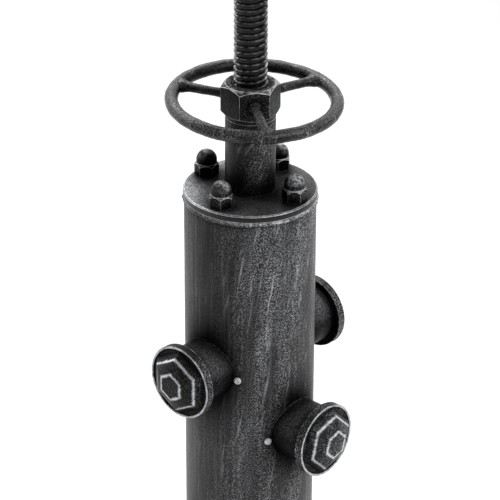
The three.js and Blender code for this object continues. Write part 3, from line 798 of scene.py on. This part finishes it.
def thread_tree():
    tree, given = new_tree("trapezoidal thread", Turns="Float", Pitch="Float", Crest="Float",
                           Root="Float", Crest_Width="Float", Root_Width="Float", Start="Float",
                           Finish="Material")
    rise = add(tree, "ShaderNodeMath", {0: given.outputs["Turns"], 1: given.outputs["Pitch"]},
               operation="MULTIPLY")
    spiral = add(tree, "GeometryNodeCurveSpiral", {
        "Resolution": 72, "Rotations": given.outputs["Turns"], "Start Radius": given.outputs["Root"],
        "End Radius": given.outputs["Root"], "Height": rise, "Reverse": True})
    level = add(tree, "GeometryNodeSetCurveNormal", {0: spiral})
    level.mode = "Z_UP"
    depth = add(tree, "ShaderNodeMath", {0: given.outputs["Crest"], 1: given.outputs["Root"]},
                operation="SUBTRACT")
    section = add(tree, "GeometryNodeCurvePrimitiveQuadrilateral", {
        "Bottom Width": given.outputs["Root Width"], "Top Width": given.outputs["Crest Width"],
        "Offset": 0.0, "Height": depth}, mode="TRAPEZOID")
    eased = add(tree, "GeometryNodeFilletCurve", {"Curve": section, "Radius": 0.35 * MM,
                                                  "Count": 2, "Limit Radius": True}, mode="POLY")
    half_depth = add(tree, "ShaderNodeMath", {0: depth, 1: 0.5}, operation="MULTIPLY")
    outwards = add(tree, "ShaderNodeCombineXYZ", {"X": half_depth})
    laid = add(tree, "GeometryNodeTransform", {"Geometry": eased,
                                               "Translation": outwards,
                                               "Rotation": (0, 0, -math.pi / 2)})
    ridge = add(tree, "GeometryNodeCurveToMesh", {"Curve": level,
                                                  "Profile Curve": laid,
                                                  "Fill Caps": True})
    lift = add(tree, "ShaderNodeCombineXYZ", {"Z": given.outputs["Start"]})
    raised = add(tree, "GeometryNodeTransform", {"Geometry": ridge,
                                                 "Translation": lift})
    whole = add(tree, "GeometryNodeJoinGeometry")
    tree.links.new(given.outputs["Geometry"], whole.inputs[0])
    tree.links.new(raised.outputs[0], whole.inputs[0])
    return close_tree(tree, whole, given.outputs["Finish"])


THREAD = thread_tree()
print("trees:", [group.name for group in bpy.data.node_groups])

# %% [markdown]
# ## The column
#
# The column is a length of 5-inch steel pipe. It is a plain turned ring with broken edges; what the eye
# sees on it is the brushed silver, and the weld beads where other parts meet it.

# %% Column tube
LID_HEIGHT = LID_TOP / MM
TUBE = TUBE_RADIUS / MM
TUBE_BOTTOM = bottom_of("column_tube") / MM - LID_HEIGHT
TUBE_TOP = top_of("column_tube") / MM - LID_HEIGHT
TUBE_WALL = 4.0

tube = around(bmesh.new(), [(TUBE - TUBE_WALL, TUBE_BOTTOM), (TUBE, TUBE_BOTTOM), (TUBE, TUBE_TOP),
                            (TUBE - TUBE_WALL, TUBE_TOP)], steps=144)
round_edges(tube, 0.6)
settle("column_tube_brushed", to_mesh(tube, "column tube", at_head()), COLUMN_PAINT, "stand",
       ["column_tube"])

# %% [markdown]
# The lid is a round steel plate, a little wider than the pipe, and it is joined to it by a rough weld.
# The bead is the lumpy line under the lid's rim.

# %% Lid and its weld
LID = radius_of("lid_plate") / MM
LID_THICK = (top_of("lid_plate") - bottom_of("lid_plate")) / MM
SLEEVE_BORE = 20.15

lid = around(bmesh.new(), [
    (SLEEVE_BORE, -LID_THICK), (LID - 1, -LID_THICK), (LID, 1 - LID_THICK), (LID, -1.1),
    (LID - 1.1, 0), (SLEEVE_BORE, 0)], steps=144)
round_edges(lid, 0.8)
settle("lid_plate_rubbed", to_mesh(lid, "lid plate", at_head()), LID_PAINT, "stand",
       ["lid_plate"])


def weld(name, path, bead, ripple, unevenness, seed, body="stand", wander=0.0, finish=None):
    finish = finish or WELD_PAINT
    mesh = run_tree(BEADS, name, start=path, Bead=bead * MM, Ripple=ripple * MM,
                    Unevenness=unevenness, Wander=wander * MM, Seed=seed, Finish=finish)
    return settle(name, mesh, finish, body, smooth_up_to=60)


WELD_PAINT = dry_brushed_paint("dry-brushed weld paint", upward=1.8, speckle=1.2, shelter_and_shade=0.0,
                               mottled=True)
weld("weld_under_lid", ring_path(TUBE - 0.3, LID_HEIGHT - LID_THICK - 1.6), 1.9, 7.0, 0.5, 3.0, wander=6.0)
weld("weld_column_foot", ring_path(TUBE + 0.4, top_of("column_flange") / MM + 0.3), 2.6, 4.0, 0.2, 7.0)

# %% [markdown]
# Domed cap nuts close the ends of the studs that hold the lid. A cap nut is a hexagon whose corners are
# turned off, with a dome on top. The turned-off corners give the bright scalloped line between the
# two. One nut is drawn and the tree sets four of them.

# %% Cap nuts


def dome(radius, middle, count=10):
    turns = [i / count * math.pi / 2 for i in range(count + 1)]
    return [(radius * math.cos(t) if t < turns[-1] else 0, middle + radius * math.sin(t)) for t in turns]


CAP_NUT_ACROSS = 21.0
STUD_CIRCLE = 50.0
FIRST_STUD = -33.0
CAP_NUT_HEX = 13.0
CAP_NUT_TOP = (top_of("cap_nut_1") - LID_TOP) / MM
DOME = 10.0
cap_nut = bmesh.new()
side = hexagon(CAP_NUT_ACROSS)
steep = math.tan(math.radians(48))
around(cap_nut, [(7.3, 0.5), (7.8, 0), (9.9, 0), (side, lambda a: (side(a) - 9.9) * 0.58),
                 (side, lambda a: CAP_NUT_HEX - (side(a) - DOME) * steep), (DOME, CAP_NUT_HEX)]
       + dome(DOME, CAP_NUT_TOP - DOME)[:-1] + [(0, CAP_NUT_TOP), (0, 15.5), (6.5, 15.5), (7.3, 14)])
round_edges(cap_nut, 0.8)
mesh = set_round("cap_nuts_rubbed", cap_nut, NUT_PAINT, Count=4, Radius=STUD_CIRCLE * MM,
                 First=FIRST_STUD, Step=90, Height=LID_TOP, Tilt=0)
settle("cap_nuts_rubbed", mesh, NUT_PAINT, "stand",
       [f"cap_nut_{i}" for i in range(1, 5)])

# %% [markdown]
# The sleeve is a short pipe that guides the screw. It stands on the lid in a smooth run of weld, so its
# foot flares out in a small hollow curve.

# %% Sleeve
SLEEVE = 24.15
SLEEVE_TOP = (top_of("sleeve") - LID_TOP) / MM
FLARE = 1.8
flare = [(SLEEVE + FLARE * (1 - math.sin(t)), FLARE * (1 - math.cos(t)))
         for t in (i * math.pi / 12 for i in range(7))]
sleeve = around(bmesh.new(), [(SLEEVE_BORE, 0)] + flare
                + [(SLEEVE, SLEEVE_TOP), (SLEEVE_BORE, SLEEVE_TOP)])
round_edges(sleeve, 0.5, sharper_than=50)
mark = sleeve.verts.layers.float["edge"]
for vert in sleeve.verts:
    vert[mark] *= 0.0 if vert.co.z < 5 * MM else 1.0
SLEEVE_PAINT = dry_brushed_paint("dry-brushed sleeve paint", paint="#1c1c1d", scuffs=0.5, speckle=0.5,
                                 upward=0.0, lean=35, dents=0.4)
settle("sleeve_brushed", to_mesh(sleeve, "sleeve", at_head()), SLEEVE_PAINT, "stand",
       ["sleeve"])

# %% [markdown]
# ## The outlets
#
# Three short pipes stand out of the column like the outlets of a hydrant. Each is closed by a cap with
# a lipped rim and a stepped six-sided boss for a spanner. The cup is turned; the boss is three
# hexagons, one above the other, joined by sloping facets, which is quicker to list one by one than to
# give by a rule.

# %% Outlet necks and caps
OUTLETS = {"left": (-42.0, -173.0, 0.0), "rear": (138.0, -173.0, 0.0), "right": (48.0, -242.0, -15.0)}
NECK = 30.15
NECK_WALL = 4.0
NECK_END = 96.0
CAP = 37.2
CAP_BACK = 92.0
CAP_FACE = 100.0
LIP_WIDTH = 2.6
BOSS_CORNERS = [(34.0, CAP_FACE - 1), (34.0, CAP_FACE), (28.0, CAP_FACE + 7), (14.0, CAP_FACE + 14)]


def outlet_neck():
    """A pipe whose inner end is cut to the column's curve."""
    def foot(radius):
        return lambda a: math.sqrt((TUBE - 0.3) ** 2 - (radius * math.cos(a)) ** 2)
    inner = NECK - NECK_WALL
    shape = around(bmesh.new(), [(inner, foot(inner)), (NECK, foot(NECK)), (NECK, NECK_END),
                                 (inner, NECK_END)])
    return round_edges(shape, 0.4)


def outlet_cap():
    lip_inner = CAP - LIP_WIDTH
    cup = around(bmesh.new(), [
        (NECK + 0.3, CAP_BACK + 4), (NECK + 0.3, CAP_BACK + 0.6), (NECK + 0.9, CAP_BACK),
        (CAP - 1, CAP_BACK), (CAP - 0.1, CAP_BACK + 0.7), (CAP - 0.4, CAP_BACK + 1.4),
        (CAP - 0.2, CAP_FACE - 1.6), (CAP, CAP_FACE), (CAP - 0.3, CAP_FACE + 0.7),
        (CAP - LIP_WIDTH / 2, CAP_FACE + 1), (lip_inner + 0.4, CAP_FACE + 0.7),
        (lip_inner, CAP_FACE - 0.2), (0, CAP_FACE - 0.2), (0, CAP_BACK + 4)])
    mark = cup.verts.layers.float.new("edge")
    for vert in cup.verts:
        if vert.co.z > (CAP_FACE + 0.5) * MM:
            vert[mark] = 0.8
        elif abs(vert.co.z - (CAP_BACK + 0.7) * MM) < 0.2 * MM:
            vert[mark] = 0.6
    return cup


def spanner_boss(turn):
    boss = bmesh.new()
    rings = []
    for corner, height in BOSS_CORNERS:
        angles = [math.radians(90 + turn + 60 * i) for i in range(6)]
        rings.append([boss.verts.new((corner * math.cos(a) * MM, corner * math.sin(a) * MM,
                                      height * MM)) for a in angles])
    for lower, upper in zip(rings, rings[1:]):
        for i in range(6):
            boss.faces.new((lower[i], lower[(i + 1) % 6], upper[(i + 1) % 6], upper[i]))
    boss.faces.new(rings[0][::-1])
    boss.faces.new(rings[-1])
    # only the two outlines are rubbed; the ridges between them stay crisp and dark
    outlines = [edge for edge in boss.edges if edge.verts[0].co.z > (CAP_FACE + 1) * MM
                and abs(edge.verts[0].co.z - edge.verts[1].co.z) < 0.1 * MM]
    return round_edges(boss, 3.0, edges=outlines)


def join_shapes(first, second):
    """Adds the second shape's mesh to the first, and uses the second up."""
    spare = bpy.data.meshes.new("spare")
    second.to_mesh(spare)
    second.free()
    first.from_mesh(spare)
    bpy.data.meshes.remove(spare)
    return first


# painted highlight: the upper sides of the necks carry a bright streak
NECK_PAINT = dry_brushed_paint("dry-brushed neck paint", speckle=0.1, upward=0.7, shine=0.08)
for outlet, (azimuth, height, turn) in OUTLETS.items():
    place = pointing_out(azimuth, height)
    settle(f"outlet_neck_{outlet}_painted", to_mesh(outlet_neck(), "neck", place), NECK_PAINT, "stand",
           [f"outlet_neck_{outlet}"])
    cap = join_shapes(outlet_cap(), spanner_boss(turn))
    settle(f"outlet_cap_{outlet}_rubbed", to_mesh(cap, "cap", place), CAP_PAINT, "stand",
           [f"outlet_cap_{outlet}"], smooth_up_to=30)
    weld(f"weld_outlet_{outlet}", saddle_path(NECK + 0.1, TUBE + 0.1, place), 0.9, 3.5, 0.25,
         11.0 + azimuth, finish=NECK_PAINT)

# %% [markdown]
# Blind rivets hold a strap inside the column, two beside each outlet. The set head is a low dome with a
# dark pit in the middle, where the pulled stem broke off.

# %% Rivets
RIVET_SPREAD = 31.5
RIVET_DROP = 5.0
rivet_seat = TUBE + 0.2
for outlet, (azimuth, height, turn) in OUTLETS.items():
    rivet = around(bmesh.new(), [
        (0, TUBE - 9), (2.7, TUBE - 9), (3.4, TUBE - 8), (3.4, TUBE - 4.6), (2.3, TUBE - 4.2),
        (2.3, rivet_seat), (3.6, rivet_seat), (3.7, rivet_seat + 0.5), (3.3, rivet_seat + 1.2),
        (2.6, rivet_seat + 1.9), (1.75, rivet_seat + 2.1), (1.35, rivet_seat + 1.9),
        (1.25, rivet_seat + 0.9), (0, rivet_seat + 0.8)], steps=24)
    mesh = set_round(f"rivets_{outlet}", rivet, RIVET_ALUMINIUM, Count=2, Radius=0.0,
                     First=azimuth - RIVET_SPREAD, Step=2 * RIVET_SPREAD,
                     Height=LID_TOP + (height - RIVET_DROP) * MM, Tilt=90)
    settle(f"rivets_{outlet}_set", mesh, RIVET_ALUMINIUM, "stand",
           [f"rivet_{outlet}_a", f"rivet_{outlet}_b"])

# %% [markdown]
# ## The screw and the handwheel
#
# The screw is 32 mm across with a 6 mm pitch. Its core is turned, with the journal that the seat turns
# on; the thread tree winds the ridge round it. The ridge starts a hair inside the core, so that no gap
# shows.

# %% Screw
SCREW_TOP = 232.0
SCREW_BOTTOM = -57.0
PITCH = 6.0
THREAD_CREST = 16.0
THREAD_ROOT = 12.6
JOURNAL = 12.0
TAIL = 10.0
SEAT_SCREW_HOLE = 5.3
SPINDLE_TIP = (top_of("spindle") - LID_TOP) / MM
SPINDLE_FOOT = (bottom_of("spindle") - LID_TOP) / MM
core = around(bmesh.new(), [
    (0, SPINDLE_FOOT), (TAIL - 1, SPINDLE_FOOT), (TAIL, SPINDLE_FOOT + 1), (TAIL, SCREW_BOTTOM),
    (THREAD_ROOT - 1.4, SCREW_BOTTOM), (THREAD_ROOT, SCREW_BOTTOM + 1.4), (THREAD_ROOT, SCREW_TOP - 5),
    (THREAD_CREST - 1.5, SCREW_TOP - 3), (THREAD_CREST - 1.5, SCREW_TOP), (JOURNAL, SCREW_TOP),
    (JOURNAL, SPINDLE_TIP - 0.6), (JOURNAL - 0.6, SPINDLE_TIP), (SEAT_SCREW_HOLE, SPINDLE_TIP),
    (SEAT_SCREW_HOLE, SPINDLE_TIP - 26), (0, SPINDLE_TIP - 26)], steps=72)
core_mesh = to_mesh(core, "core", at_head())
turns = (SCREW_TOP - SCREW_BOTTOM - 9) / PITCH
mesh = run_tree(THREAD, "screw", start=core_mesh, Turns=turns, Pitch=PITCH * MM,
                Crest=THREAD_CREST * MM, Root=(THREAD_ROOT - 0.25) * MM, Crest_Width=2.1 * MM,
                Root_Width=4.1 * MM, Start=LID_TOP + (SCREW_BOTTOM + 3.5) * MM, Finish=THREAD_STEEL)
settle("screw_threaded", mesh, THREAD_STEEL, "lift", ["spindle"])
widest = max(math.hypot(v.co.x, v.co.y) for v in mesh.vertices) / MM
print(f"thread crest radius {widest:.2f} mm")

# %% [markdown]
# The handwheel turns on the screw by a big hexagon nut. Its corners are turned off at both ends, and
# the bore is eased where the thread enters.

# %% Wheel nut
WHEEL_NUT_BOTTOM = (bottom_of("wheel_nut") - LID_TOP) / MM
WHEEL_NUT_TOP = (top_of("wheel_nut") - LID_TOP) / MM
WHEEL_NUT_ACROSS = 50
WHEEL_NUT_BORE = 16.3
wheel_nut = around(bmesh.new(), nut_profile(WHEEL_NUT_ACROSS, WHEEL_NUT_BOTTOM, WHEEL_NUT_TOP, 24.0,
                                            fall=0.72, bore=WHEEL_NUT_BORE))
round_edges(wheel_nut, 1.7)
WHEEL_AZIMUTH = 9.0
place = at_head() @ Matrix.Rotation(math.radians(WHEEL_AZIMUTH), 4, "Z")
settle("wheel_nut_rubbed", to_mesh(wheel_nut, "wheel nut", place), NUT_PAINT, "handwheel",
       ["wheel_nut"])

# %% [markdown]
# The rim is a round bar bent into a hoop, and three spokes are welded between it and the nut. The welds
# are melted smooth, so the spokes flow into the rim. Modelling those fillets by hand would be slow. The
# bars are overlapped instead and remeshed as one skin, which is then smoothed and given a little of
# the unevenness of forged bar.

# %% Rim and spokes

RIM = 78.2
RIM_BAR = 6.35
SPOKE_ROOT_HEIGHT = 93.0
SPOKE_BAR = 4.5
NUT_FLAT = 25.0
# the hoop was welded on by eye, so it is a little off the axis and leans
HOOP_OFFSET = 3.6
HOOP_HEIGHT = 90.4
HOOP_LEAN_SIDE = 1.56
HOOP_LEAN_BACK = 1.5
as_welded = (Matrix.Translation((HOOP_OFFSET * MM, 0, HOOP_HEIGHT * MM))
             @ Matrix.Rotation(math.radians(HOOP_LEAN_SIDE), 4, "Y")
             @ Matrix.Rotation(math.radians(HOOP_LEAN_BACK), 4, "X"))

wheel_shape = bmesh.new()
section = [(RIM + (RIM_BAR + 0.15) * math.cos(t), (RIM_BAR + 0.15) * math.sin(t))
           for t in (i * 2 * math.pi / 20 for i in range(20))]
around(wheel_shape, section, steps=144)
bmesh.ops.recalc_face_normals(wheel_shape, faces=wheel_shape.faces)
wheel_shape.transform(as_welded)


def spoke_from(root, tip):
    """A bar from the nut's flat to the middle of the rim, flared and flattened where it is welded."""
    length = (tip - root).length / MM
    shape = around(bmesh.new(), [
        (0, -0.6), (7.4, -0.6), (6.8, 0.8), (5.6, 2.6), (4.9, 5.0), (SPOKE_BAR, 9),
        (SPOKE_BAR, length - 20), (5.0, length - 14), (6.4, length - 9.5), (8.2, length - 6.5),
        (9.2, length - 3), (7.5, length + 1.5), (0, length + 2)], steps=32)
    for vert in shape.verts:
        past = (vert.co.z / MM - (length - 16)) / 12
        vert.co.y *= 1 - 0.3 * min(max(past, 0), 1)
    bmesh.ops.recalc_face_normals(shape, faces=shape.faces)
    along = (tip - root).normalized()
    level = along.cross((0, 0, 1)).normalized()
    shape.transform(Matrix.Translation(root)
                    @ Matrix((level, along.cross(level), along)).transposed().to_4x4())
    return shape


wheel = bpy.data.meshes.new("wheel")
for i in range(3):
    out = Matrix.Rotation(math.radians(WHEEL_AZIMUTH + 120 * i), 4, "Z") @ Vector((0, -1, 0))
    join_shapes(wheel_shape, spoke_from(out * NUT_FLAT * MM + Vector((0, 0, SPOKE_ROOT_HEIGHT * MM)),
                                        as_welded @ (out * RIM * MM)))
wheel_shape.to_mesh(wheel)
wheel_shape.free()

carrier = bpy.data.objects.new("wheel", wheel)
bpy.context.collection.objects.link(carrier)
skin = carrier.modifiers.new("one skin", "REMESH")
skin.mode = "VOXEL"
skin.voxel_size = 0.8 * MM
melt = carrier.modifiers.new("melt", "SMOOTH")
melt.factor = 0.5
melt.iterations = 6
mesh = bpy.data.meshes.new_from_object(carrier.evaluated_get(bpy.context.evaluated_depsgraph_get()))
bpy.data.objects.remove(carrier)
swells = [vert.normal * MM * (noise.noise(vert.co / (11 * MM)) * 0.35
                             + noise.noise(vert.co / (3.5 * MM)) * 0.16) for vert in mesh.vertices]
for vert, swell in zip(mesh.vertices, swells):
    vert.co += swell
mesh.transform(at_head())
settle("wheel_rim_and_spokes", mesh, WHEEL_PAINT, "handwheel",
       ["wheel_rim", "wheel_spoke_1", "wheel_spoke_2", "wheel_spoke_3"], smooth_up_to=80)

# %% [markdown]
# ## The foot
#
# A heavy casting keeps the stool upright. It is turned like a pot lid: a flat rim, a slope, and a raised
# hub for the flange. A sheet of rubber under it saves the floor.

# %% Base, flange and bolts
PAD_TOP = top_of("floor_pad") / MM
BASE_TOP = top_of("base_plate") / MM
BASE = radius_of("base_plate") / MM
FLANGE_TOP = top_of("column_flange") / MM
FLANGE = radius_of("column_flange") / MM
BOLT_CIRCLE = 82.5

base = around(bmesh.new(), [
    (0, PAD_TOP), (BASE - 4, PAD_TOP), (BASE, PAD_TOP + 4), (BASE, PAD_TOP + 8), (BASE - 4, PAD_TOP + 12),
    (122, PAD_TOP + 16.6), (118, PAD_TOP + 17.2), (112, BASE_TOP), (0, BASE_TOP)], steps=144)
round_edges(base, 1.2, sharper_than=20, segments=3)
settle("base_plate_cast", to_mesh(base, "base"), CASTING, "stand", ["base_plate"])

flange = around(bmesh.new(), [(TUBE + 0.3, BASE_TOP), (FLANGE, BASE_TOP), (FLANGE, FLANGE_TOP - 1.5),
                              (FLANGE - 1.5, FLANGE_TOP), (TUBE + 0.3, FLANGE_TOP)], steps=144)
round_edges(flange, 0.5)
settle("column_flange_painted", to_mesh(flange, "flange"), COLUMN_PAINT, "stand",
       ["column_flange"])

BOLT_ACROSS = 18
BOLT_HEAD = 7.5
bolt = around(bmesh.new(), nut_profile(BOLT_ACROSS, FLANGE_TOP, FLANGE_TOP + BOLT_HEAD, 8.5, fall=0.7))
round_edges(bolt, 0.4)
shank = around(bmesh.new(), [
    (0, BASE_TOP - 16), (5.4, BASE_TOP - 16), (6, BASE_TOP - 15), (6, FLANGE_TOP + 1),
    (0, FLANGE_TOP + 1)], steps=24)
mesh = set_round("base_bolts", join_shapes(bolt, shank), NUT_PAINT, Count=6, Radius=BOLT_CIRCLE * MM,
                 First=30, Step=60, Height=0.0, Tilt=0)
settle("base_bolts_rubbed", mesh, NUT_PAINT, "stand",
       [f"base_bolt_{i}" for i in range(1, 7)])

# %% [markdown]
# ## The seat
#
# The seat turns on the end of the screw. A hub is welded under a steel plate, and four screws hold the
# wooden top to the plate. The top is glued up from five boards, so a round blank is cut into strips, each
# edge is eased, and a fine groove shows at each joint.

# %% Hub and plate
HUB = radius_of("seat_hub") / MM
HUB_BOTTOM = (bottom_of("seat_hub") - LID_TOP) / MM
HUB_TOP = (top_of("seat_hub") - LID_TOP) / MM
SEAT_BOTTOM = (bottom_of("seat") - LID_TOP) / MM
SEAT_TOP = (top_of("seat") - LID_TOP) / MM
PLATE = radius_of("seat_plate") / MM
hub = around(bmesh.new(), [(12.3, HUB_BOTTOM), (HUB, HUB_BOTTOM), (HUB, HUB_TOP), (12.3, HUB_TOP)])
round_edges(hub, 0.8)
settle("seat_hub_painted", to_mesh(hub, "hub", at_head()), NUT_PAINT, "seat",
       ["seat_hub"])
weld("weld_seat_hub", ring_path(HUB + 0.2, LID_HEIGHT + HUB_TOP - 0.6), 2.2, 4.0, 0.2, 23.0, "seat")

PLATE_HOLE = 22
plate = around(bmesh.new(), [(PLATE_HOLE, HUB_TOP), (PLATE, HUB_TOP), (PLATE, SEAT_BOTTOM),
                             (PLATE_HOLE, SEAT_BOTTOM)], steps=144)
round_edges(plate, 0.8)
settle("seat_plate_painted", to_mesh(plate, "plate", at_head()), COLUMN_PAINT, "seat",
       ["seat_plate"])

# %% Seat boards
SEAT = radius_of("seat") / MM
EDGE_ROUND = 9.0


def quarter_round(middle_height, start, count=8):
    turns = [start + i / count * math.pi / 2 for i in range(count + 1)]
    return [(SEAT - EDGE_ROUND + EDGE_ROUND * math.cos(t), middle_height + EDGE_ROUND * math.sin(t))
            for t in turns]


def seat_blank():
    recess = 24.0
    return around(bmesh.new(), [(0, SEAT_BOTTOM + 14), (recess, SEAT_BOTTOM + 14), (recess, SEAT_BOTTOM)]
                  + quarter_round(SEAT_BOTTOM + EDGE_ROUND, -math.pi / 2)
                  + quarter_round(SEAT_TOP - EDGE_ROUND, 0) + [(0, SEAT_TOP)], steps=144)


boards = bmesh.new()
for number in range(BOARDS):
    strip = seat_blank()
    left = -SEAT + number * 2 * SEAT / BOARDS
    for x, keep_side in ((left, -1), (left + 2 * SEAT / BOARDS, 1)):
        if abs(x) > SEAT - 1:
            continue
        everything = strip.verts[:] + strip.edges[:] + strip.faces[:]
        cut = bmesh.ops.bisect_plane(strip, geom=everything, dist=1e-6, plane_co=(x * MM, 0, 0),
                                     plane_no=(keep_side, 0, 0), clear_outer=True)
        rim_edges = [part for part in cut["geom_cut"] if isinstance(part, bmesh.types.BMEdge)]
        bmesh.ops.holes_fill(strip, edges=rim_edges)
    bmesh.ops.remove_doubles(strip, verts=strip.verts, dist=1e-6)
    cut_edges = [edge for edge in strip.edges
                 if len(edge.link_faces) == 2 and edge.calc_face_angle() > math.radians(50)]
    bmesh.ops.recalc_face_normals(strip, faces=strip.faces)
    bmesh.ops.bevel(strip, geom=cut_edges, offset=0.9 * MM, segments=2, profile=0.5, affect="EDGES",
                    clamp_overlap=True)
    join_shapes(boards, strip)
mesh = to_mesh(boards, "seat boards", at_head())
settle("seat_boards", mesh, WALNUT, "seat", ["seat"], smooth_up_to=30)

# %% [markdown]
# ## Parts that keep their CAD shape
#
# What hides inside the column is already right as drawn, and only gets its finish.

# %% Finishes for the remaining nodes
KEPT = {
    RUBBER: ["floor_pad"],
    MILL_STEEL: ["guide_rail", "lid_ring", "guide_disc"],
    ZINC: ["lid_stud_1", "lid_stud_2", "lid_stud_3", "lid_stud_4", "guide_nut", "retainer_washer",
           "retainer_screw", "seat_screw_1", "seat_screw_2", "seat_screw_3", "seat_screw_4"],
    BRONZE: ["bush_lower", "bush_upper", "swivel_washer"],
    SLEEVE_PAINT: ["thrust_washer"],
}
for finish, nodes in KEPT.items():
    for node in nodes:
        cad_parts[node].data.materials.clear()
        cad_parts[node].data.materials.append(finish)
print("kept nodes:", sum(len(nodes) for nodes in KEPT.values()))
